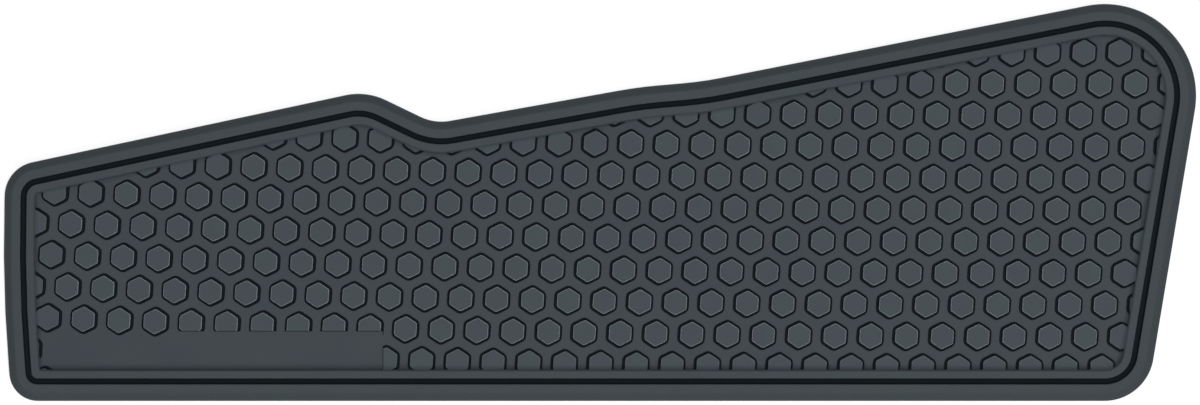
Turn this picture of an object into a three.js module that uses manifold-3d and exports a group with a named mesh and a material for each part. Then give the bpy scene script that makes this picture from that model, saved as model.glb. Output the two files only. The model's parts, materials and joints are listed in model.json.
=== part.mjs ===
// Motorcycle tank pad: a knee grip moulded in one piece, stuck to the side of a fuel tank.
// A raised rim with a groove runs round the edge, and hexagonal studs stand on the field inside it.
// Millimetres. +X runs along the pad from its narrow end, +Y across it and +Z out of the grip face.
// The flat back lies on Z = 0, and the origin is the middle of the outline's box.
import * as THREE from 'three';
import { mergeVertices } from 'three/addons/utils/BufferGeometryUtils.js';
import Module from 'manifold-3d';

const wasm = await Module();
wasm.setup();
const { Manifold, Mesh: ManifoldMesh } = wasm;

// Outline, by its corners before they are rounded. x is measured from the middle of the narrow end,
// and y up from the straight lower edge. Rounding takes the pad back to 290.0 by 96.6.
const PAD_LENGTH = 295.5; // to the high corner of the wide end
const PAD_WIDTH = 102.4;
const WIDE_END_LEAN = 17.1; // the low corner of the wide end stands back this far from the high one
const WIDE_HIGH_RADIUS = 22.3;
const WIDE_LOW_RADIUS = 12.1;
const NARROW_END_WIDTH = 56.7;
const NARROW_LOW_SETBACK = 2.35; // both corners stand back a little from the middle of the narrow end
const NARROW_LOW_RADIUS = 7.0;
const NARROW_HIGH_SETBACK = 0.85;
const NARROW_HIGH_RADIUS = 8.5;
const NARROW_END_BOW_RADIUS = 360;

// Corners of the upper edge, each placed from the one before it, going from the narrow end to the wide end.
const NOTCH_CREST = { run: 87.8, rise: 18.8, radius: 15.3 };
const NOTCH_FOOT = { run: 16.6, rise: -8.0, radius: 11.9 };
const FULL_BEND = { run: 49.7, rise: 8.9, radius: 110 };
const HOLLOW_BEND = { run: 15.3, rise: 1.3, radius: 90 };

const SHARPEST_RADIUS = 0.3; // a corner keeps this radius however far the outline moves in
const ARC_STEP = THREE.MathUtils.degToRad(6);
const ARC_STEPS_LEAST = 3;
const EDGE_SHARE_FOR_ARCS = 0.98; // so that a short straight stays between two arcs

// Section of the rim, from the outer edge inwards.
const EDGE_HEIGHT = 0.9;
const LIP_WIDTH = 0.7;
const LIP_RISE = 0.3;
const SHOULDER_WIDTH = 1.1;
const RIM_HEIGHT = 2.8;
const OUTER_BAND_WIDTH = 2.3;
const GROOVE_WIDTH = 1.4;
const GROOVE_DEPTH = 1.6;
const GROOVE_DRAFT = 0.08; // lean of each of its walls
const INNER_BAND_WIDTH = 1.9;
const STEP_WIDTH = 0.6;
const FIELD_HEIGHT = 1.3; // thickness of the sheet between the studs

// Studs: flat-topped hexagons with a flank facing each end of the pad.
const STUD_FLATS_TOP = 5.6;
const STUD_FLATS_FOOT = 6.0;
const STUD_HEIGHT = 0.6;
const STUD_SINK = 0.3; // how far the foot is buried in the sheet
const STUD_TURN = THREE.MathUtils.degToRad(-3.6);
const STUD_TUCK = 0.6; // how far a cut stud runs on inside the rim

// Rows of studs, set out both ways from one stud near the middle.
const FIRST_STUD = { x: 147.35, y: 39.6 };
const STUD_PITCH = 8.7; // along a row
const ROW_PITCH = 7.68;
const ROW_SHIFT = 4.79; // each row starts this much further along than the one below it
const ROW_TILT = -0.0167; // slope of a row at the first stud
const ROW_BOW_RADIUS = 6450; // the rows curve up towards both ends

// Smooth panel without studs, in the low corner of the narrow end.
const PANEL_LEFT = 13.4;
const PANEL_RIGHT = 92.8;
const PANEL_TOP = 17.1;
const PANEL_SHOULDER = 41.4; // from here to the left the panel is lower
const PANEL_DROP = 1.6;

const RUBBER_COLOUR = 0x444a4e;

/** Left-hand unit normal of the line between two places, which points into the pad. */
function inwardNormal(from, to) {
  const direction = to.clone().sub(from).normalize();
  return new THREE.Vector2(-direction.y, direction.x);
}

/** Corners of the outline before rounding, counterclockwise from the low corner of the narrow end. */
function sharpCorners() {
  const corner = (x, y, radius) => ({ place: new THREE.Vector2(x, y), radius });
  const upperEdge = [corner(NARROW_HIGH_SETBACK, NARROW_END_WIDTH, NARROW_HIGH_RADIUS)];
  [NOTCH_CREST, NOTCH_FOOT, FULL_BEND, HOLLOW_BEND].forEach(({ run, rise, radius }) => {
    const { place } = upperEdge.at(-1);
    upperEdge.push(corner(place.x + run, place.y + rise, radius));
  });
  return [
    corner(NARROW_LOW_SETBACK, 0, NARROW_LOW_RADIUS),
    corner(PAD_LENGTH - WIDE_END_LEAN, 0, WIDE_LOW_RADIUS),
    corner(PAD_LENGTH, PAD_WIDTH, WIDE_HIGH_RADIUS),
    ...upperEdge.reverse(),
    corner(0, NARROW_END_WIDTH / 2, NARROW_END_BOW_RADIUS),
  ];
}

/** The sharp corners moved inwards by a distance, each with the way it turns and its arc's radius. */
function movedCorners(inset) {
  const corners = sharpCorners();
  return corners.map(({ place, radius }, index) => {
    const normalIn = inwardNormal(corners.at(index - 1).place, place);
    const normalOut = inwardNormal(place, corners[(index + 1) % corners.length].place);
    const turn = Math.sign(normalIn.cross(normalOut)); // 1 at a convex corner, -1 in a hollow
    const mitre = normalIn.clone().add(normalOut).divideScalar(1 + normalIn.dot(normalOut));
    return {
      place: place.clone().addScaledVector(mitre, inset),
      radius: Math.max(radius - turn * inset, SHARPEST_RADIUS),
      sweep: Math.acos(normalIn.dot(normalOut)),
      normalIn,
      mitre,
      turn,
    };
  });
}

/** Points of the outline moved inwards by a distance. Arcs that would meet on an edge are cut down. */
function outline(inset) {
  const corners = movedCorners(inset);
  const arcReach = ({ radius, sweep }) => radius * Math.tan(sweep / 2);
  const edgeFits = corners.map((corner, index) => {
    const next = corners[(index + 1) % corners.length];
    const room = corner.place.distanceTo(next.place) * EDGE_SHARE_FOR_ARCS;
    return Math.min(1, room / (arcReach(corner) + arcReach(next)));
  });
  return corners.flatMap(({ place, radius, sweep, normalIn, mitre, turn }, index) => {
    const fittedRadius = radius * Math.min(edgeFits.at(index - 1), edgeFits[index]);
    const centre = place.clone().addScaledVector(mitre, turn * fittedRadius);
    const steps = Math.max(ARC_STEPS_LEAST, Math.ceil(sweep / ARC_STEP));
    return Array.from({ length: steps + 1 }, (_, step) => {
      const toArc = normalIn.clone().multiplyScalar(-turn * fittedRadius);
      return toArc.rotateAround(new THREE.Vector2(), (turn * sweep * step) / steps).add(centre);
    });
  });
}

/** Section of the rim as [distance from the outer edge, height], from the back to the field. */
function rimSection() {
  const shoulderTop = LIP_WIDTH + SHOULDER_WIDTH;
  const grooveOuter = shoulderTop + OUTER_BAND_WIDTH;
  const grooveInner = grooveOuter + GROOVE_WIDTH;
  const grooveFloor = RIM_HEIGHT - GROOVE_DEPTH;
  const bandInner = grooveInner + INNER_BAND_WIDTH;
  return [
    [0, 0],
    [0, EDGE_HEIGHT],
    [LIP_WIDTH, EDGE_HEIGHT + LIP_RISE],
    [shoulderTop, RIM_HEIGHT],
    [grooveOuter, RIM_HEIGHT],
    [grooveOuter + GROOVE_DRAFT, grooveFloor],
    [grooveInner - GROOVE_DRAFT, grooveFloor],
    [grooveInner, RIM_HEIGHT],
    [bandInner, RIM_HEIGHT],
    [bandInner + STEP_WIDTH, FIELD_HEIGHT],
  ];
}

/** Closed skin through a stack of outlines given as [inset, height], capped at both ends. */
function loftedSkin(levels) {
  const rings = levels.map(([inset, height]) => ({ points: outline(inset), height }));
  const count = rings[0].points.length;
  const positions = rings.flatMap(({ points, height }) => points.flatMap(({ x, y }) => [x, y, height]));
  const indices = [];
  for (let ring = 0; ring + 1 < rings.length; ring += 1) {
    const low = ring * count;
    const high = low + count;
    for (let here = 0; here < count; here += 1) {
      const next = (here + 1) % count;
      indices.push(low + here, low + next, high + next, low + here, high + next, high + here);
    }
  }
  const back = THREE.ShapeUtils.triangulateShape(rings[0].points, []);
  const front = THREE.ShapeUtils.triangulateShape(rings.at(-1).points, []);
  const frontStart = (rings.length - 1) * count;
  back.forEach(([a, b, c]) => indices.push(a, c, b));
  front.forEach(([a, b, c]) => indices.push(frontStart + a, frontStart + b, frontStart + c));
  const skin = new THREE.BufferGeometry();
  skin.setAttribute('position', new THREE.Float32BufferAttribute(positions, 3));
  skin.setIndex(indices);
  return skin;
}

/** Solid from a closed three.js geometry. */
function toSolid(geometry) {
  const bare = geometry.clone();
  bare.deleteAttribute('normal');
  bare.deleteAttribute('uv');
  const merged = mergeVertices(bare);
  return new Manifold(new ManifoldMesh({
    numProp: 3,
    vertProperties: new Float32Array(merged.attributes.position.array),
    triVerts: new Uint32Array(merged.index.array),
  }));
}

/** Three.js geometry from a solid. */
function toGeometry(solid) {
  const mesh = solid.getMesh();
  const geometry = new THREE.BufferGeometry();
  geometry.setAttribute('position', new THREE.BufferAttribute(mesh.vertProperties, 3));
  geometry.setIndex(new THREE.BufferAttribute(mesh.triVerts, 1));
  geometry.computeVertexNormals();
  return geometry;
}

/** Upright prism over a closed list of points. */
function prism(points, low, high) {
  const geometry = new THREE.ExtrudeGeometry(new THREE.Shape(points), {
    depth: high - low,
    bevelEnabled: false,
  });
  return toSolid(geometry.translate(0, 0, low));
}

/** One tapered hexagonal stud over a place on the field, its buried foot included. */
function studSolid({ x, y }) {
  const flatsToCorners = 1 / Math.sqrt(3);
  const flatsPerHeight = (STUD_FLATS_FOOT - STUD_FLATS_TOP) / STUD_HEIGHT;
  const flatsBuried = STUD_FLATS_FOOT + flatsPerHeight * STUD_SINK;
  const height = STUD_HEIGHT + STUD_SINK;
  const sides = 6;
  const stud = new THREE.CylinderGeometry(
    STUD_FLATS_TOP * flatsToCorners,
    flatsBuried * flatsToCorners,
    height,
    sides,
  );
  stud.rotateX(Math.PI / 2).rotateZ(STUD_TURN);
  return toSolid(stud.translate(x, y, FIELD_HEIGHT - STUD_SINK + height / 2));
}

/** Points of the smooth panel, which runs down to the pad's lower edge. */
function panelPoints() {
  const shoulderHeight = PANEL_TOP - PANEL_DROP;
  return [
    new THREE.Vector2(PANEL_LEFT, 0),
    new THREE.Vector2(PANEL_RIGHT, 0),
    new THREE.Vector2(PANEL_RIGHT, PANEL_TOP),
    new THREE.Vector2(PANEL_SHOULDER, PANEL_TOP),
    new THREE.Vector2(PANEL_SHOULDER, shoulderHeight),
    new THREE.Vector2(PANEL_LEFT, shoulderHeight),
  ];
}

/** Whether a point lies on the smooth panel. */
function onPanel({ x, y }) {
  const top = x > PANEL_SHOULDER ? PANEL_TOP : PANEL_TOP - PANEL_DROP;
  return x > PANEL_LEFT && x < PANEL_RIGHT && y < top;
}

/** Middles of the studs that reach into a box round the field, without those on the smooth panel. */
function studMiddles(box) {
  const reached = box.clone().expandByScalar(STUD_FLATS_FOOT);
  const size = reached.getSize(new THREE.Vector2());
  const rows = Math.ceil(size.y / ROW_PITCH);
  const places = Math.ceil((size.x + rows * ROW_SHIFT) / STUD_PITCH);
  const middles = [];
  for (let row = -rows; row <= rows; row += 1) {
    for (let place = -places; place <= places; place += 1) {
      const along = place * STUD_PITCH + row * ROW_SHIFT;
      const across = row * ROW_PITCH + ROW_TILT * along + along ** 2 / (2 * ROW_BOW_RADIUS);
      const middle = new THREE.Vector2(FIRST_STUD.x + along, FIRST_STUD.y + across);
      if (reached.containsPoint(middle) && !onPanel(middle)) middles.push(middle);
    }
  }
  return middles;
}

/** All the studs, cut off where they run into the rim and the smooth panel. */
function studField() {
  const [bandInner] = rimSection().at(-2);
  const edge = outline(bandInner - STUD_TUCK);
  const low = FIELD_HEIGHT - 2 * STUD_SINK;
  const high = FIELD_HEIGHT + STUD_HEIGHT + STUD_SINK;
  const studs = studMiddles(new THREE.Box2().setFromPoints(edge)).map(studSolid);
  return Manifold.union(studs).intersect(prism(edge, low, high)).subtract(prism(panelPoints(), low, high));
}

/** The whole pad as one moulding. */
function tankPad() {
  const moulding = toSolid(loftedSkin(rimSection())).add(studField());
  const rubber = new THREE.MeshStandardMaterial({ color: RUBBER_COLOUR, roughness: 0.6, metalness: 0 });
  const middle = new THREE.Box2().setFromPoints(outline(0)).getCenter(new THREE.Vector2());
  const pad = new THREE.Mesh(toGeometry(moulding), rubber);
  pad.name = 'tank_pad';
  pad.position.set(-middle.x, -middle.y, 0);
  return pad;
}

const model = new THREE.Group();
model.add(tankPad());

export default model;
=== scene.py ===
"""Motorcycle tank pad: a rubber knee grip moulded in one piece, lying face up on a pale floor.

A raised rim with a groove runs round the edge. Hexagonal studs stand on the field inside it, each in a
narrow moat, and a smooth panel without studs fills the low corner of the narrow end. The pad's sizes are
in millimetres, and its finished mesh is brought to metres. The studio's sizes are in metres.
"""

from __future__ import annotations

import json
import logging
import math
from dataclasses import dataclass, field
from enum import Enum, IntEnum
from typing import Iterable

import bmesh
import bpy
from mathutils import Matrix, Vector

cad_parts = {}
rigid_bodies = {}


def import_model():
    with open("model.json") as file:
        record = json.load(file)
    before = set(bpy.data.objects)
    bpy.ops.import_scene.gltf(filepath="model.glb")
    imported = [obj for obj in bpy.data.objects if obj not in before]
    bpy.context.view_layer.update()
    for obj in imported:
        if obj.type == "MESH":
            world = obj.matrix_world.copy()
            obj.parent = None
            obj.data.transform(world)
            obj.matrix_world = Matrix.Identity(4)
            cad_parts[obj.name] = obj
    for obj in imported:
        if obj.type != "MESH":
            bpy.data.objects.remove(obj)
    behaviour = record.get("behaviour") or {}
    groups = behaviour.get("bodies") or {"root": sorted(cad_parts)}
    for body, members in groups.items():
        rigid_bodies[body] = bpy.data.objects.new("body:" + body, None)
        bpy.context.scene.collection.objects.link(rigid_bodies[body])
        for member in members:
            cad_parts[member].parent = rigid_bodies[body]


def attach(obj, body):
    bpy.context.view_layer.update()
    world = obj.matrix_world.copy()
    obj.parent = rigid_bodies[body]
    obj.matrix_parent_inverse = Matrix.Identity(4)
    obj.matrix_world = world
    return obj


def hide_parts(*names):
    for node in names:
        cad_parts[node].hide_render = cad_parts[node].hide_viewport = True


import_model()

log = logging.getLogger("tank_pad")

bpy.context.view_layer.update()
MM = 0.001
PHOTO_WIDTH = 1200  # pixels
PIXEL = 0.24319  # millimetres that one pixel covers

Ring = list[tuple[float, float]]


class Surface(IntEnum):
    """Material slots of the pad's mesh."""

    RIM = 0
    FIELD = 1
    STUD = 2
    # Slot of the studs' rounded top edges, painted lighter as a highlight.
    STUD_EDGE_HIGHLIGHT = 3
    # Near-black slot of the groove, the moats and the studs' sides: painted shade.
    RECESS_SHADE = 4


class Joining(Enum):
    """What a boolean does to a solid."""

    ADD = "UNION"
    CUT = "DIFFERENCE"
    KEEP_COMMON = "INTERSECT"


def select_only(obj: bpy.types.Object) -> None:
    """Deselects everything, then selects and activates one object.

    Args:
        obj: The object to work on.
    """
    for other in bpy.context.view_layer.objects:
        other.select_set(False)
    obj.select_set(True)
    bpy.context.view_layer.objects.active = obj


def give_slots(obj: bpy.types.Object, finishes: Iterable[bpy.types.Material]) -> None:
    """Gives a mesh its material slots.

    Args:
        obj: The mesh object.
        finishes: The materials, in the order of their slots.
    """
    for finish in finishes:
        obj.data.materials.append(finish)


def remove(obj: bpy.types.Object) -> None:
    """Deletes an object and its mesh.

    Args:
        obj: The object to delete.
    """
    mesh = obj.data
    bpy.data.objects.remove(obj)
    bpy.data.meshes.remove(mesh)


def combine(solid: bpy.types.Object, tool: bpy.types.Object, joining: Joining) -> None:
    """Applies a boolean to a solid and deletes the tool.

    Args:
        solid: The closed mesh that is changed.
        tool: The closed mesh that it is joined to or cut by.
        joining: What the boolean does.
    """
    select_only(solid)
    bpy.ops.object.modifier_add(type="BOOLEAN")
    modifier = solid.modifiers[-1]
    modifier.operation = joining.value
    modifier.object = tool
    modifier.solver = "MANIFOLD"
    modifier.material_mode = "INDEX"
    bpy.ops.object.modifier_apply(modifier=modifier.name)
    remove(tool)


def score(solid: bpy.types.Object, points: Iterable[tuple[float, float]], slope: float) -> None:
    """Splits a solid's faces along upright planes, so that no face goes all round a hole cut there later.

    Args:
        solid: The closed mesh that is scored.
        points: A place that each plane goes through.
        slope: How far the planes rise in y for each step in x, as seen from above.
    """
    select_only(solid)
    bpy.ops.object.mode_set(mode="EDIT")
    for x, y in points:
        bpy.ops.mesh.select_all(action="SELECT")
        bpy.ops.mesh.bisect(plane_co=(x, y, 0.0), plane_no=(-slope, 1.0, 0.0))
    bpy.ops.object.mode_set(mode="OBJECT")


def weld(solid: bpy.types.Object, gap: float) -> None:
    """Merges points that nearly lie on each other, which booleans leave where edges almost meet.

    Args:
        solid: The closed mesh that is cleaned.
        gap: How far apart the merged points may be.
    """
    select_only(solid)
    bpy.ops.object.mode_set(mode="EDIT")
    bpy.ops.mesh.select_all(action="SELECT")
    bpy.ops.mesh.remove_doubles(threshold=gap)
    bpy.ops.object.mode_set(mode="OBJECT")


def arc_points(
    before: Vector, corner: Vector, after: Vector, radius: float, steps: int
) -> list[Vector]:
    """Rounds one corner of a path with an arc.

    Args:
        before: A point on the straight that leads to the corner.
        corner: The corner itself.
        after: A point on the straight that leaves it.
        radius: Radius of the arc.
        steps: How many chords the arc is drawn with.

    Returns:
        The points of the arc, from the first straight to the second.
    """
    into = (corner - before).normalized()
    out = (after - corner).normalized()
    turn = math.copysign(1.0, into.x * out.y - into.y * out.x)
    sweep = math.acos(max(-1.0, min(1.0, into.dot(out))))
    left = Vector((-into.y, into.x)) * turn
    start = corner - into * radius * math.tan(sweep / 2)
    centre = start + left * radius
    points = []
    for step in range(steps + 1):
        angle = turn * sweep * step / steps
        spoke = -left * radius
        points.append(
            centre
            + Vector(
                (
                    spoke.x * math.cos(angle) - spoke.y * math.sin(angle),
                    spoke.x * math.sin(angle) + spoke.y * math.cos(angle),
                )
            )
        )
    return points


class Stack:
    """A closed solid drawn up through rings that all have the same number of points."""

    wall_corners: int = 4

    def __init__(self, name: str, first: Ring, height: float, bottom: Surface, top: Surface) -> None:
        """Starts the solid with its lowest ring.

        Args:
            name: Name of the object.
            first: The lowest ring, counterclockwise.
            height: Height of that ring.
            bottom: Material slot of the lowest face.
            top: Material slot of the highest face.
        """
        bpy.ops.mesh.primitive_circle_add(vertices=len(first), radius=1.0, fill_type="NGON")
        self.obj = bpy.context.object
        self.obj.name = name
        self.bottom = bottom
        self.top = top
        for vertex, (x, y) in zip(self.obj.data.vertices, first):
            vertex.co = (x, y, height)
        select_only(self.obj)
        bpy.ops.object.mode_set(mode="EDIT")
        bpy.ops.mesh.select_all(action="SELECT")

    def rise(self, ring: Ring, height: float, surface: Surface) -> None:
        """Extrudes the top face to the next ring.

        Args:
            ring: The next ring, with the same number of points.
            height: Its height.
            surface: Material slot of the wall between the two rings.
        """
        bpy.ops.mesh.extrude_region_move(TRANSFORM_OT_translate={"value": (0.0, 0.0, 0.0)})
        mesh = bmesh.from_edit_mesh(self.obj.data)
        top = [vertex for vertex in mesh.verts if vertex.select]
        if len(top) != len(ring):
            raise ValueError(f"{self.obj.name}: {len(ring)} points can't follow a ring of {len(top)}")
        for vertex, (x, y) in zip(top, ring):
            vertex.co = (x, y, height)
        caps = {face for face in mesh.faces if face.select}
        for face in {face for vertex in top for face in vertex.link_faces} - caps:
            face.material_index = surface
        bmesh.update_edit_mesh(self.obj.data)

    def close(self) -> bpy.types.Object:
        """Ends the shaping, with the last ring as the top face.

        Returns:
            The finished solid, faces pointing out.
        """
        mesh = bmesh.from_edit_mesh(self.obj.data)
        for face in mesh.faces:
            # Only the lowest and the highest face have more corners than a wall.
            if len(face.verts) > self.wall_corners:
                face.material_index = self.top if face.select else self.bottom
        bmesh.update_edit_mesh(self.obj.data)
        bpy.ops.mesh.select_all(action="SELECT")
        bpy.ops.mesh.normals_make_consistent(inside=False)
        bpy.ops.object.mode_set(mode="OBJECT")
        return self.obj


@dataclass(frozen=True)
class Corner:
    """A corner of the outline before it is rounded, in millimetres."""

    x: float
    y: float
    radius: float


@dataclass(frozen=True)
class Bend:
    """A corner of the moved outline, with the ways in and out of it and the radius wanted there."""

    place: Vector
    into: Vector
    out: Vector
    radius: float

    def sweep(self) -> float:
        """How far the outline turns here."""
        return math.acos(max(-1.0, min(1.0, self.into.dot(self.out))))

    def reach(self) -> float:
        """How far the wanted arc runs along each of the two edges."""
        return self.radius * math.tan(self.sweep() / 2)


@dataclass
class Outline:
    """The pad's outline, with x from the middle of the narrow end and y from the lower edge."""

    length: float = 295.5
    width: float = 102.4
    wide_end_lean: float = 17.1
    wide_high_radius: float = 22.3
    wide_low_radius: float = 12.1
    narrow_end_width: float = 56.7
    narrow_low_setback: float = 2.35
    narrow_low_radius: float = 7.0
    narrow_high_setback: float = 0.85
    narrow_high_radius: float = 8.5
    narrow_end_bow_radius: float = 360.0
    upper_edge: tuple[tuple[float, float, float], ...] = (
        (87.8, 18.8, 15.3),
        (16.6, -8.0, 11.9),
        (49.7, 8.9, 110.0),
        (15.3, 1.3, 90.0),
    )
    sharpest_radius: float = 0.3
    edge_share_for_arcs: float = 0.98
    arc_step: float = math.radians(3.0)
    fewest_arc_steps: int = 3
    clearance: float = 0.03

    def corners(self) -> list[Corner]:
        """The corners counterclockwise, from the low corner of the narrow end.

        Returns:
            One corner for each turn of the outline.
        """
        upper = [Corner(self.narrow_high_setback, self.narrow_end_width, self.narrow_high_radius)]
        for run, rise, radius in self.upper_edge:
            upper.append(Corner(upper[-1].x + run, upper[-1].y + rise, radius))
        return [
            Corner(self.narrow_low_setback, 0.0, self.narrow_low_radius),
            Corner(self.length - self.wide_end_lean, 0.0, self.wide_low_radius),
            Corner(self.length, self.width, self.wide_high_radius),
            *reversed(upper),
            Corner(0.0, self.narrow_end_width / 2, self.narrow_end_bow_radius),
        ]

    def bends(self, depth: float) -> list[Bend]:
        """The corners moved inwards.

        Args:
            depth: How far they are moved.

        Returns:
            One bend for each corner, in order, with its arc concentric to the outermost one.
        """
        corners = self.corners()
        made = []
        for index, corner in enumerate(corners):
            place = Vector((corner.x, corner.y))
            before = corners[index - 1]
            after = corners[(index + 1) % len(corners)]
            into = (place - Vector((before.x, before.y))).normalized()
            out = (Vector((after.x, after.y)) - place).normalized()
            turn = math.copysign(1.0, into.x * out.y - into.y * out.x)
            mitre = Vector((-into.y - out.y, into.x + out.x)) / (1.0 + into.dot(out))
            radius = max(corner.radius - turn * depth, self.sharpest_radius)
            made.append(Bend(place + mitre * depth, into, out, radius))
        return made

    def ring(self, inset: float) -> Ring:
        """The rounded outline moved inwards. Arcs that would meet on an edge are cut down.

        Args:
            inset: How far it is moved.

        Returns:
            Its points, counterclockwise and as many for every inset.
        """
        bends = self.bends(inset + self.clearance)
        fits = []
        for index, bend in enumerate(bends):
            after = bends[(index + 1) % len(bends)]
            room = (after.place - bend.place).length * self.edge_share_for_arcs
            fits.append(min(1.0, room / (bend.reach() + after.reach())))
        points: Ring = []
        for index, bend in enumerate(bends):
            radius = bend.radius * min(fits[index - 1], fits[index])
            steps = max(self.fewest_arc_steps, math.ceil(bend.sweep() / self.arc_step))
            arc = arc_points(bend.place - bend.into, bend.place, bend.place + bend.out, radius, steps)
            points.extend((point.x, point.y) for point in arc)
        return points

    def middle(self) -> Vector:
        """The middle of the outline's box.

        Returns:
            The point that becomes the origin.
        """
        ring = self.ring(0.0)
        xs = [x for x, _ in ring]
        ys = [y for _, y in ring]
        return Vector(((min(xs) + max(xs)) / 2, (min(ys) + max(ys)) / 2, 0.0))


@dataclass(frozen=True)
class Turn:
    """A corner of the rim's section: where it is, how round, and the slot of the wall that leads to it."""

    inset: float
    height: float
    radius: float
    surface: Surface = Surface.RIM


@dataclass(frozen=True)
class Slope:
    """How the rim comes down to a level inside it: its width, the cove's radius and that level's slot."""

    width: float
    cove: float
    surface: Surface


@dataclass
class Rim:
    """The raised rim, by its section from the outer edge to the field."""

    edge_height: float = 0.9
    lip_width: float = 0.7
    lip_rise: float = 0.3
    shoulder_width: float = 1.1
    height: float = 2.8
    outer_band_width: float = 2.3
    groove_width: float = 1.4
    groove_depth: float = 1.6
    groove_draft: float = 0.08
    inner_band_width: float = 1.9
    edge_fillet: float = 0.35
    lip_fillet: float = 0.45
    shoulder_fillet: float = 0.6
    groove_fillet: float = 0.22
    groove_cove: float = 0.25
    band_fillet: float = 0.5
    fillet_steps: int = 4
    level_run: float = 2.0

    def groove_start(self) -> float:
        """Distance from the outer edge to the groove."""
        return self.lip_width + self.shoulder_width + self.outer_band_width

    def band_end(self) -> float:
        """Distance from the outer edge to the inner side of the inner band."""
        return self.groove_start() + self.groove_width + self.inner_band_width

    def turns(self, slope: Slope, level: float) -> list[Turn]:
        """The section's corners, from the back's edge to a level inside the rim.

        Args:
            slope: How the rim comes down to that level.
            level: Height of that level.

        Returns:
            The corners in order, the two ends included.
        """
        start = self.groove_start()
        end = start + self.groove_width
        floor = self.height - self.groove_depth
        foot = self.band_end() + slope.width
        return [
            Turn(0.0, 0.0, 0.0),
            Turn(0.0, self.edge_height, self.edge_fillet),
            Turn(self.lip_width, self.edge_height + self.lip_rise, self.lip_fillet),
            Turn(self.lip_width + self.shoulder_width, self.height, self.shoulder_fillet),
            Turn(start, self.height, self.groove_fillet),
            # The groove's walls and floor take the near-black slot: painted shade.
            Turn(start + self.groove_draft, floor, self.groove_cove, Surface.RECESS_SHADE),
            Turn(end - self.groove_draft, floor, self.groove_cove, Surface.RECESS_SHADE),
            Turn(end, self.height, self.groove_fillet, Surface.RECESS_SHADE),
            Turn(self.band_end(), self.height, self.band_fillet),
            Turn(foot, level, slope.cove),
            Turn(foot + self.level_run, level, 0.0, slope.surface),
        ]

    def stations(self, slope: Slope, level: float) -> list[tuple[float, float, Surface]]:
        """The rounded section.

        Args:
            slope: How the rim comes down to the level inside it.
            level: Height of that level.

        Returns:
            Distance from the outer edge, height, and the slot of the wall that leads there.
        """
        turns = self.turns(slope, level)
        places = [Vector((turn.inset, turn.height)) for turn in turns]
        made = [(0.0, 0.0, Surface.RIM)]
        for index in range(1, len(turns) - 1):
            arc = arc_points(
                places[index - 1],
                places[index],
                places[index + 1],
                turns[index].radius,
                self.fillet_steps,
            )
            # A fillet takes the higher slot of its two walls, unless it lies on the rim's top.
            on_top = turns[index].height == self.height
            bend = Surface.RIM if on_top else max(turns[index].surface, turns[index + 1].surface)
            made.append((arc[0].x, arc[0].y, turns[index].surface))
            made.extend((point.x, point.y, bend) for point in arc[1:])
        return made


@dataclass
class SmoothPanel:
    """The panel without studs in the low corner of the narrow end."""

    left: float = 13.4
    right: float = 92.8
    top: float = 17.1
    shoulder: float = 41.4
    drop: float = 1.6

    def holds(self, x: float, y: float) -> bool:
        """Whether a point lies on the panel.

        Args:
            x: Distance from the narrow end.
            y: Distance from the lower edge.

        Returns:
            True on the panel.
        """
        top = self.top if x > self.shoulder else self.top - self.drop
        return self.left < x < self.right and y < top

    def prism(self, low: float, high: float, margin: float) -> bpy.types.Object:
        """An upright block over the panel.

        Args:
            low: Height of its lower side.
            high: Height of its upper side.
            margin: How far its sides stand inside the panel's.

        Returns:
            The block.
        """
        top = self.top - margin
        lower_top = top - self.drop
        ring = [
            (self.left + margin, 0.0),
            (self.right - margin, 0.0),
            (self.right - margin, top),
            (self.shoulder, top),
            (self.shoulder, lower_top),
            (self.left + margin, lower_top),
        ]
        stack = Stack("panel_block", ring, low, Surface.RECESS_SHADE, Surface.RECESS_SHADE)
        stack.rise(ring, high, Surface.RECESS_SHADE)
        return stack.close()


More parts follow.
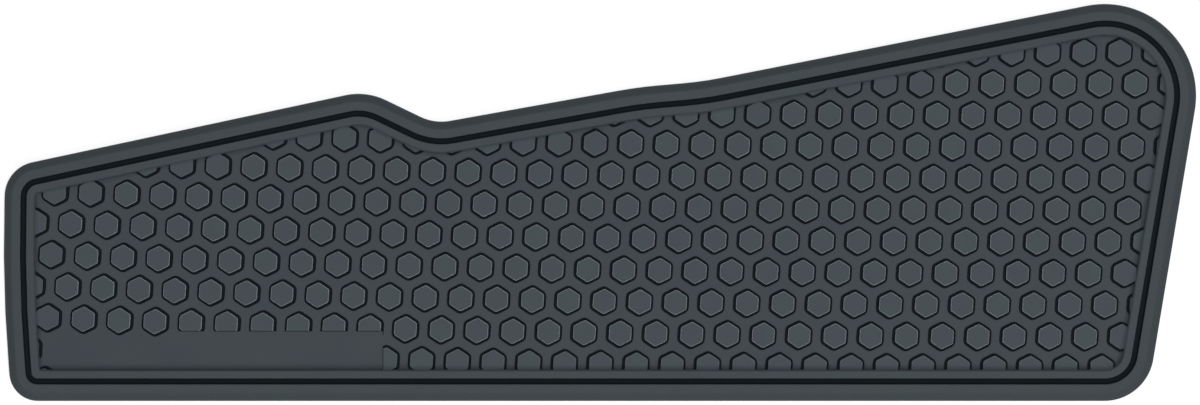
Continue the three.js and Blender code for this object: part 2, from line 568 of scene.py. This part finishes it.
@dataclass
class Studs:
    """The hexagonal studs and the moats round them, set out in rows that bow gently."""

    flats: float = 5.52
    height: float = 0.6
    corner_radius: float = 0.7
    corner_steps: int = 2
    top_fillet: float = 0.18
    foot_flare: float = 0.12
    foot_depth: float = 0.15
    pillar_inset: float = 0.02
    pillar_height: float = 2.0
    moat_width: float = 0.56
    moat_depth: float = 0.6
    moat_draft: float = 0.05
    moat_edge: float = 0.1
    moat_block_height: float = 1.0
    # The moats are shifted so that the near-black line is wider on one side of each stud: painted shadow.
    moat_shadow_shift: float = 0.14
    even_moat_place: float = 104.0
    even_moat_reach: float = 36.0
    turn: float = math.radians(-3.6)
    first: tuple[float, float] = (147.35, 39.6)
    pitch: float = 8.7
    row_pitch: float = 7.68
    row_shift: float = 4.79
    row_tilt: float = -0.0167
    row_bow_radius: float = 6450.0
    field_height: float = 1.3

    def ring(self, flats: float) -> Ring:
        """A hexagon with rounded corners, and with a side towards each end of the pad.

        Args:
            flats: Its size across flats.

        Returns:
            Its points, counterclockwise.
        """
        reach = flats / math.sqrt(3.0)
        radius = self.corner_radius + (flats - self.flats) / 2
        corners = [
            Vector((math.cos(angle), math.sin(angle))) * reach
            for angle in (self.turn + math.radians(30.0 + 60.0 * side) for side in range(6))
        ]
        points: Ring = []
        for index, corner in enumerate(corners):
            after = corners[(index + 1) % len(corners)]
            arc = arc_points(corners[index - 1], corner, after, radius, self.corner_steps)
            points.extend((point.x, point.y) for point in arc)
        return points

    def middles(self, ring: Ring, panel: SmoothPanel) -> list[tuple[float, float]]:
        """Middles of the studs that reach into an outline, with their moats, and stay off the panel.

        Args:
            ring: The outline.
            panel: The smooth panel.

        Returns:
            The middles, row by row.
        """
        low_x = min(x for x, _ in ring) - self.flats
        high_x = max(x for x, _ in ring) + self.flats
        low_y = min(y for _, y in ring) - self.flats
        high_y = max(y for _, y in ring) + self.flats
        rows = math.ceil((high_y - low_y) / self.row_pitch)
        places = math.ceil((high_x - low_x + rows * self.row_shift) / self.pitch)
        made = []
        for row in range(-rows, rows + 1):
            for place in range(-places, places + 1):
                along = place * self.pitch + row * self.row_shift
                bow = along * along / (2.0 * self.row_bow_radius)
                x = self.first[0] + along
                y = self.first[1] + row * self.row_pitch + self.row_tilt * along + bow
                inside = low_x < x < high_x and low_y < y < high_y
                if inside and not panel.holds(x, y) and self.touches(ring, x, y):
                    made.append((x, y))
        return made

    def moat_middles(self, middles: Iterable[tuple[float, float]]) -> list[tuple[float, float]]:
        """Middles of the moats, which stand a little off their studs, towards one place along the pad, so
        that the dark moat is wider on the side of each stud that faces that place: a painted shadow.

        Args:
            middles: Middles of the studs.

        Returns:
            One middle for each moat, in the studs' order.
        """
        made = []
        for x, y in middles:
            share = max(-1.0, min(1.0, (self.even_moat_place - x) / self.even_moat_reach))
            made.append((x + self.moat_shadow_shift * share, y))
        return made

    def row_marks(self, ring: Ring) -> list[tuple[float, float]]:
        """A place in the middle of each row, lifted to split the row's bow evenly.

        Args:
            ring: The outline that the rows fill.

        Returns:
            The places, from the lowest row.
        """
        reach = max(abs(x - self.first[0]) for x, _ in ring)
        lift = reach * reach / (4.0 * self.row_bow_radius)
        low = math.floor((min(y for _, y in ring) - self.first[1]) / self.row_pitch)
        high = math.ceil((max(y for _, y in ring) - self.first[1]) / self.row_pitch)
        return [
            (self.first[0], self.first[1] + row * self.row_pitch + lift)
            for row in range(low, high + 1)
        ]

    def touches(self, ring: Ring, x: float, y: float) -> bool:
        """Whether a stud or the moat round it has any point inside an outline.

        Args:
            ring: The outline.
            x: The stud's middle.
            y: The stud's middle.

        Returns:
            True if it does.
        """
        outer = self.flats + 2 * (self.moat_width + self.moat_edge)
        probes = [(x, y), *((x + px, y + py) for px, py in self.ring(outer))]
        return any(self.encloses(ring, px, py) for px, py in probes)

    def crosses(self, ring: Ring, x: float, y: float) -> bool:
        """Whether a stud has any point outside an outline.

        Args:
            ring: The outline.
            x: The stud's middle.
            y: The stud's middle.

        Returns:
            True if it does.
        """
        return not all(self.encloses(ring, x + px, y + py) for px, py in self.ring(self.flats))

    @staticmethod
    def encloses(ring: Ring, x: float, y: float) -> bool:
        """Whether an outline goes round a point.

        Args:
            ring: The outline.
            x: The point.
            y: The point.

        Returns:
            True if it does.
        """
        inside = False
        for (x0, y0), (x1, y1) in zip(ring, [*ring[1:], ring[0]]):
            if (y0 > y) != (y1 > y) and x < x0 + (y - y0) / (y1 - y0) * (x1 - x0):
                inside = not inside
        return inside

    def stud(self) -> bpy.types.Object:
        """One stud at the origin, its foot buried under the moat.

        Returns:
            The stud.
        """
        top = self.top()
        bend = self.top_fillet * (1.0 - math.sqrt(0.5))
        base = self.ring(self.flats + 2 * self.foot_flare)
        stack = Stack("stud", base, self.foot(), Surface.RECESS_SHADE, Surface.STUD)
        # The stud's sides take the near-black slot: painted shade.
        stack.rise(self.ring(self.flats), top - self.top_fillet, Surface.RECESS_SHADE)
        # The rounded edge takes the lighter slot: painted highlight.
        stack.rise(self.ring(self.flats - 2 * bend), top - bend, Surface.STUD_EDGE_HIGHLIGHT)
        stack.rise(self.ring(self.flats - 2 * self.top_fillet), top, Surface.STUD_EDGE_HIGHLIGHT)
        return stack.close()

    def moat(self) -> bpy.types.Object:
        """The block that cuts one moat at the origin, the stud's place included.

        Returns:
            The block.
        """
        level = self.field_height
        outer = self.flats + 2 * self.moat_width
        bottom = self.ring(outer - 2 * self.moat_draft)
        # The bevel starts one edge below the field and runs on to one edge above it, at 45 degrees.
        wide = self.ring(outer + 2 * (2 * self.moat_edge))
        # The moat's walls and floor take the near-black slot: painted shade.
        stack = Stack("moat", bottom, level - self.moat_depth, Surface.RECESS_SHADE, Surface.RECESS_SHADE)
        stack.rise(self.ring(outer), level - self.moat_edge, Surface.RECESS_SHADE)
        stack.rise(wide, level + self.moat_edge, Surface.FIELD)
        stack.rise(wide, level + self.moat_block_height, Surface.RECESS_SHADE)
        moat = stack.close()
        score(moat, [(0.0, 0.0)], self.row_tilt)
        return moat

    def pillar(self) -> bpy.types.Object:
        """A tall stud without an edge, from which the studs that run up the rim are cut.

        Returns:
            The pillar.
        """
        ring = self.ring(self.flats - 2 * self.pillar_inset)
        # The pillar's sides, which become the sides of the cut studs, take the near-black slot: painted
        # shade.
        stack = Stack("pillar", ring, self.foot(), Surface.RECESS_SHADE, Surface.RECESS_SHADE)
        stack.rise(ring, self.field_height + self.pillar_height, Surface.RECESS_SHADE)
        return stack.close()

    def top(self) -> float:
        """Height of the studs' tops."""
        return self.field_height + self.height

    def foot(self) -> float:
        """Height of the studs' buried feet."""
        return self.field_height - self.moat_depth - self.foot_depth

    @staticmethod
    def copies(pattern: bpy.types.Object, middles: Iterable[tuple[float, float]]) -> bpy.types.Object:
        """Copies a block over a set of places and joins the copies.

        Args:
            pattern: The block, which is deleted.
            middles: The places.

        Returns:
            All the copies as one object.
        """
        made = []
        for x, y in middles:
            copy = pattern.copy()
            copy.data = pattern.data.copy()
            copy.data.transform(Matrix.Translation((x, y, 0.0)))
            bpy.context.collection.objects.link(copy)
            made.append(copy)
        name = pattern.name
        remove(pattern)
        select_only(made[0])
        for copy in made:
            copy.select_set(True)
        bpy.ops.object.join()
        made[0].name = f"{name}s"
        return made[0]


@dataclass(frozen=True)
class MouldedRubber:
    """Smooth moulded rubber, dark slate grey, satin, with faint patches of a greener and a bluer grey."""

    name: str
    green: tuple[float, float, float]
    blue: tuple[float, float, float]
    patch_scale: float = 60.0
    patch_detail: float = 2.0
    patch_low: float = 0.38
    patch_high: float = 0.62
    specular: float = 0.12
    sheen_low: float = 0.55
    sheen_high: float = 0.7
    grain_scale: float = 4200.0
    grain_detail: float = 3.0
    grain_height: float = 0.02 * MM
    grain_strength: float = 0.3

    def material(self) -> bpy.types.Material:
        """Builds the node material.

        Returns:
            The material.
        """
        made = bpy.data.materials.new(self.name)
        made.use_nodes = True
        nodes = made.node_tree.nodes
        links = made.node_tree.links
        shader = nodes["Principled BSDF"]
        shader.inputs["Specular IOR Level"].default_value = self.specular
        place = nodes.new("ShaderNodeTexCoord")

        patches = nodes.new("ShaderNodeTexNoise")
        patches.inputs["Scale"].default_value = self.patch_scale
        patches.inputs["Detail"].default_value = self.patch_detail
        links.new(place.outputs["Object"], patches.inputs["Vector"])
        spread = nodes.new("ShaderNodeMapRange")
        spread.inputs["From Min"].default_value = self.patch_low
        spread.inputs["From Max"].default_value = self.patch_high
        links.new(patches.outputs["Fac"], spread.inputs["Value"])
        tint = nodes.new("ShaderNodeMix")
        tint.data_type = "RGBA"
        tint.inputs["A"].default_value = (*self.green, 1.0)
        tint.inputs["B"].default_value = (*self.blue, 1.0)
        links.new(spread.outputs["Result"], tint.inputs["Factor"])
        links.new(tint.outputs["Result"], shader.inputs["Base Color"])

        gloss = nodes.new("ShaderNodeMapRange")
        gloss.inputs["To Min"].default_value = self.sheen_low
        gloss.inputs["To Max"].default_value = self.sheen_high
        links.new(patches.outputs["Fac"], gloss.inputs["Value"])
        links.new(gloss.outputs["Result"], shader.inputs["Roughness"])

        grain = nodes.new("ShaderNodeTexNoise")
        grain.inputs["Scale"].default_value = self.grain_scale
        grain.inputs["Detail"].default_value = self.grain_detail
        links.new(place.outputs["Object"], grain.inputs["Vector"])
        bump = nodes.new("ShaderNodeBump")
        bump.inputs["Strength"].default_value = self.grain_strength
        bump.inputs["Distance"].default_value = self.grain_height
        links.new(grain.outputs["Fac"], bump.inputs["Height"])
        links.new(bump.outputs["Normal"], shader.inputs["Normal"])
        return made


@dataclass(frozen=True)
class Finishes:
    """The finishes of the pad's surfaces."""

    rim: MouldedRubber = MouldedRubber("rim_rubber", (0.042, 0.054, 0.058), (0.044, 0.053, 0.061))
    # A little darker than the rim: painted shade on the field between the studs.
    field: MouldedRubber = MouldedRubber("field_rubber", (0.040, 0.0508, 0.0556), (0.042, 0.0498, 0.0596))
    # Lighter than the rim: painted light on the studs' tops, which are the same rubber.
    stud: MouldedRubber = MouldedRubber(
        "stud_rubber",
        (0.047, 0.062, 0.067),
        (0.051, 0.060, 0.071),
        patch_scale=90.0,
    )
    # The studs' rounded top edges: a lighter tone that is a painted highlight, with a real smoother,
    # shinier finish.
    stud_edge_highlight: MouldedRubber = MouldedRubber(
        "stud_edge_highlight_rubber",
        (0.080, 0.097, 0.103),
        (0.084, 0.095, 0.108),
        specular=0.36,
        sheen_low=0.34,
        sheen_high=0.42,
    )
    # Near-black tone of the groove, the moats and the studs' sides: painted shade in the recesses, on
    # rubber that is the same as elsewhere.
    recess_shade: MouldedRubber = MouldedRubber(
        "recess_shade_rubber",
        (0.005, 0.0095, 0.011),
        (0.006, 0.009, 0.012),
        specular=0.06,
        sheen_low=0.7,
        sheen_high=0.9,
    )

    def materials(self) -> list[bpy.types.Material]:
        """The materials in the order of the slots in Surface."""
        kinds = (self.rim, self.field, self.stud, self.stud_edge_highlight, self.recess_shade)
        return [kind.material() for kind in kinds]


@dataclass
class TankPad:
    """The whole pad: rim, field, studs, moats and smooth panel in one moulding."""

    outline: Outline = field(default_factory=Outline)
    rim: Rim = field(default_factory=Rim)
    panel: SmoothPanel = field(default_factory=SmoothPanel)
    studs: Studs = field(default_factory=Studs)
    finishes: Finishes = field(default_factory=Finishes)
    slope_to_field: Slope = Slope(0.6, 1.5, Surface.FIELD)
    slope_to_studs: Slope = Slope(0.5, 1.7, Surface.STUD)
    slope_end: float = 1.6
    cut_stud_drop: float = 0.01
    stud_tuck: float = 0.15
    moat_tuck: float = 0.3
    panel_line: float = 0.15
    field_block_heights: tuple[float, float] = (0.3, 3.5)
    panel_block_heights: tuple[float, float] = (0.2, 3.6)
    weld_gap: float = 0.001
    sharp_angle: float = math.radians(32.0)
    level_limit: float = 0.9999

    def moulding(self, name: str, slope: Slope, level: float) -> bpy.types.Object:
        """The rim with a plain level inside it.

        Args:
            name: Name of the object.
            slope: How the rim comes down to that level.
            level: Height of that level.

        Returns:
            The moulding.
        """
        stations = self.rim.stations(slope, level)
        first = self.outline.ring(stations[0][0])
        stack = Stack(name, first, stations[0][1], Surface.RIM, slope.surface)
        for inset, height, surface in stations[1:]:
            stack.rise(self.outline.ring(inset), height, surface)
        return stack.close()

    def field_prism(self, inset: float) -> bpy.types.Object:
        """An upright block over the field.

        Args:
            inset: How far its sides stand from the outer edge.

        Returns:
            The block.
        """
        low, high = self.field_block_heights
        ring = self.outline.ring(inset)
        stack = Stack("field_block", ring, low, Surface.RECESS_SHADE, Surface.RECESS_SHADE)
        stack.rise(ring, high, Surface.RECESS_SHADE)
        return stack.close()

    def build(self) -> bpy.types.Object:
        """Models the pad in millimetres, then brings it to metres at the origin.

        Returns:
            The pad.
        """
        edge = self.rim.band_end()
        middles = self.studs.middles(self.outline.ring(edge), self.panel)
        cove_end = self.outline.ring(edge + self.slope_end)
        cut_middles = [middle for middle in middles if self.studs.crosses(cove_end, *middle)]
        cut_level = self.studs.top() - self.cut_stud_drop
        pad = self.moulding("moulded_pad", self.slope_to_field, self.studs.field_height)
        score(pad, self.studs.row_marks(cove_end), self.studs.row_tilt)
        raised = self.moulding("raised_pad", self.slope_to_studs, cut_level)
        moat = self.studs.moat()
        stud = self.studs.stud()
        pillar = self.studs.pillar()
        materials = self.finishes.materials()
        for solid in (pad, raised, moat, stud, pillar):
            give_slots(solid, materials)
        moats = self.studs.copies(moat, self.studs.moat_middles(middles))
        studs = self.studs.copies(stud, middles)
        pillars = self.studs.copies(pillar, cut_middles)

        combine(moats, self.field_prism(edge + self.moat_tuck), Joining.KEEP_COMMON)
        combine(moats, self.panel.prism(*self.panel_block_heights, self.panel_line), Joining.CUT)
        combine(pad, moats, Joining.CUT)
        combine(pillars, raised, Joining.KEEP_COMMON)
        for solid in (studs, pillars):
            combine(solid, self.field_prism(edge - self.stud_tuck), Joining.KEEP_COMMON)
            combine(solid, self.panel.prism(*self.panel_block_heights, 0.0), Joining.CUT)
            combine(pad, solid, Joining.ADD)
        log.info("%s: %d studs, %d of them cut", pad.name, len(middles), len(cut_middles))

        weld(pad, self.weld_gap)
        pad.data.transform(Matrix.Translation(-self.outline.middle()))
        select_only(pad)
        pad.scale = (MM, MM, MM)
        bpy.ops.object.transform_apply(location=False, rotation=False, scale=True)
        self.shade(pad)
        return pad

    def shade(self, pad: bpy.types.Object) -> None:
        """Shades the rounded walls smooth, and keeps the level faces level up to their edges.

        Args:
            pad: The finished pad.
        """
        select_only(pad)
        bpy.ops.object.shade_smooth_by_angle(angle=self.sharp_angle)
        bpy.ops.object.mode_set(mode="EDIT")
        bpy.ops.mesh.select_all(action="DESELECT")
        mesh = bmesh.from_edit_mesh(pad.data)
        for face in mesh.faces:
            face.select_set(abs(face.normal.z) > self.level_limit)
        bmesh.update_edit_mesh(pad.data)
        bpy.ops.mesh.mod_weighted_strength(set=True, face_strength="STRONG")
        bpy.ops.object.mode_set(mode="OBJECT")
        bpy.ops.object.modifier_add(type="WEIGHTED_NORMAL")
        modifier = pad.modifiers[-1]
        modifier.mode = "CORNER_ANGLE"
        modifier.keep_sharp = True
        modifier.use_face_influence = True
        bpy.ops.object.modifier_apply(modifier=modifier.name)


@dataclass(frozen=True)
class Softbox:
    """A square soft light that faces the pad: where it hangs, the length of its sides, and its power."""

    name: str
    place: tuple[float, float, float]
    side: float
    watts: float

    def hang(self) -> None:
        """Puts the light in the scene."""
        data = bpy.data.lights.new(self.name, "AREA")
        data.size = self.side
        data.energy = self.watts
        lamp = bpy.data.objects.new(self.name, data)
        lamp.location = self.place
        lamp.rotation_euler = (-Vector(self.place)).to_track_quat("-Z", "Y").to_euler()
        bpy.context.collection.objects.link(lamp)


@dataclass
class Studio:
    """Pale floor, soft lights and the camera straight above the pad."""

    lens: float = 200.0
    sensor: float = 36.0
    far_clip: float = 20.0
    view_width: float = PHOTO_WIDTH * PIXEL * MM
    scale_height: float = 0.9 * MM
    floor_side: float = 6.0
    floor_tone: float = 0.62
    floor_lift: float = 0.45
    shadow_reach: float = 0.2
    light_reach: float = 1.2
    sky_level: float = 0.15
    lights: tuple[Softbox, ...] = (
        Softbox("overhead_light", (0.15, -0.07, 1.72), 0.9, 23.0),
        Softbox("low_light", (0.35, -1.25, 1.05), 0.4, 5.5),
    )

    def camera(self) -> None:
        """Hangs the camera straight above the pad, with the narrow end on its left."""
        data = bpy.data.cameras.new("camera")
        data.lens = self.lens
        data.sensor_width = self.sensor
        data.clip_end = self.far_clip
        camera = bpy.data.objects.new("camera", data)
        # The view is exactly as wide as the photograph's at the height of the pad's outer edge.
        distance = self.view_width * self.lens / self.sensor
        camera.location = (0.0, 0.0, distance + self.scale_height)
        bpy.context.collection.objects.link(camera)
        bpy.context.scene.camera = camera

    @staticmethod
    def seen(tree: bpy.types.NodeTree) -> bpy.types.NodeSocket:
        """Adds nodes that tell the rays that see the background from those that light the pad.

        Args:
            tree: The node tree to add them to.

        Returns:
            A socket that is one for camera, glossy and transmission rays, and zero for the rest.
        """
        path = tree.nodes.new("ShaderNodeLightPath")
        socket = path.outputs["Is Camera Ray"]
        for name in ("Is Glossy Ray", "Is Transmission Ray"):
            either = tree.nodes.new("ShaderNodeMath")
            either.operation = "MAXIMUM"
            tree.links.new(socket, either.inputs[0])
            tree.links.new(path.outputs[name], either.inputs[1])
            socket = either.outputs["Value"]
        return socket

    def floor(self) -> None:
        """Lays a floor that looks white and keeps the pad's shadow."""
        bpy.ops.mesh.primitive_plane_add(size=self.floor_side)
        floor = bpy.context.object
        floor.name = "floor"
        material = bpy.data.materials.new("white_floor")
        material.use_nodes = True
        tree = material.node_tree
        tree.nodes.clear()
        diffuse = tree.nodes.new("ShaderNodeBsdfDiffuse")
        diffuse.inputs["Color"].default_value = (*[self.floor_tone] * 3, 1.0)
        place = tree.nodes.new("ShaderNodeTexCoord")
        away = tree.nodes.new("ShaderNodeVectorMath")
        away.operation = "LENGTH"
        far = tree.nodes.new("ShaderNodeMapRange")
        far.inputs["From Min"].default_value = self.shadow_reach
        far.inputs["From Max"].default_value = self.light_reach
        far.inputs["To Min"].default_value = self.floor_lift
        lift = tree.nodes.new("ShaderNodeMapRange")
        glow = tree.nodes.new("ShaderNodeEmission")
        both = tree.nodes.new("ShaderNodeAddShader")
        out = tree.nodes.new("ShaderNodeOutputMaterial")
        tree.links.new(place.outputs["Object"], away.inputs[0])
        tree.links.new(away.outputs["Value"], far.inputs["Value"])
        tree.links.new(far.outputs["Result"], lift.inputs["To Max"])
        tree.links.new(self.seen(tree), lift.inputs["Value"])
        tree.links.new(lift.outputs["Result"], glow.inputs["Strength"])
        tree.links.new(diffuse.outputs["BSDF"], both.inputs[0])
        tree.links.new(glow.outputs["Emission"], both.inputs[1])
        tree.links.new(both.outputs["Shader"], out.inputs["Surface"])
        floor.data.materials.append(material)

    def sky(self) -> None:
        """Sets a soft sky that the camera sees as white."""
        world = bpy.data.worlds.new("studio")
        world.use_nodes = True
        tree = world.node_tree
        level = tree.nodes.new("ShaderNodeMapRange")
        level.inputs["To Min"].default_value = self.sky_level
        back = tree.nodes["Background"]
        back.inputs["Color"].default_value = (1.0, 1.0, 1.0, 1.0)
        tree.links.new(self.seen(tree), level.inputs["Value"])
        tree.links.new(level.outputs["Result"], back.inputs["Strength"])
        bpy.context.scene.world = world

    def build(self) -> None:
        """Sets up the camera, the floor, the lights and the sky."""
        bpy.context.scene.view_settings.view_transform = "Standard"
        self.camera()
        self.floor()
        for light in self.lights:
            light.hang()
        self.sky()


def main() -> None:
    """Builds the pad and its studio."""
    logging.basicConfig(level=logging.INFO, format="%(name)s: %(message)s")
    pad = TankPad().build()
    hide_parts("tank_pad")
    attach(pad, "root")
    log.info("%s: %d faces", pad.name, len(pad.data.polygons))
    Studio().build()


if __name__ == "__main__":
    main()
